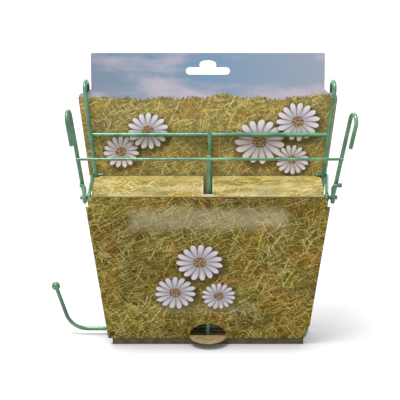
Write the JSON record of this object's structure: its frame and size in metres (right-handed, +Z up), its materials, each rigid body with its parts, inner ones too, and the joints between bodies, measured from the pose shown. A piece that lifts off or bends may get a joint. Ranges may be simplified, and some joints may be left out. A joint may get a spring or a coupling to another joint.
{
  "type": "hay manger",
  "caption": "Green coated-wire hay manger with back hooks, swinging wire lid and salt spool hanger, standing in a folded card sleeve with a header card and die-cut flap.",
  "frame": {"origin": "on the floor, at the middle of the card sleeve's bottom panel", "axes": "+X to the viewer's right, +Y from the front to the back, +Z up"},
  "size_m": [0.2227, 0.0785, 0.2169],
  "materials": {
    "green_wire": "glossy plastic-coated steel wire",
    "printed_card": "coated card printed with a hay pattern",
    "kraft_card": "unprinted brown card"
  },
  "bodies": {
    "rack_and_sleeve": {"back_frame_wire": "green_wire", "back_top_bar": "green_wire", "back_centre_wire": "green_wire", "back_cross_wires": "green_wire", "front_frame_wire": "green_wire", "front_centre_wire": "green_wire", "front_cross_wires": "green_wire", "side_rail_right": "green_wire", "side_rail_left": "green_wire", "lower_side_rail_right": "green_wire", "lower_side_rail_left": "green_wire", "floor_ties": "green_wire", "salt_hanger_rod": "green_wire", "salt_hanger_ball": "green_wire", "back_card": "printed_card", "bottom_panel": "printed_card", "tuck_lip": "printed_card", "front_panel": "printed_card"},
    "lid": {"lid_rod": "green_wire", "lid_arm_right": "green_wire", "lid_arm_left": "green_wire", "lid_centre_strut": "green_wire", "lid_cross_wire": "green_wire"},
    "flap": {"top_flap": "printed_card"},
    "tongue": {"lock_tongue": "kraft_card"}
  },
  "joints": [
    {"name": "lid_swing", "type": "hinge", "parent": "rack_and_sleeve", "child": "lid", "pos_m": [0, -0.03526, 0.1218], "axis": [-1, 0, 0], "range_deg": [0, 89]},
    {"name": "flap_lift", "type": "hinge", "parent": "rack_and_sleeve", "child": "flap", "pos_m": [0, -0.04093, 0.12442], "axis": [-1, 0, 0], "range_deg": [-85, 0]},
    {"name": "tongue_fold", "type": "hinge", "parent": "rack_and_sleeve", "child": "tongue", "pos_m": [0, -0.01689, 0.00731], "axis": [-1, 0, 0], "range_deg": [0, 90.4]}
  ]
}
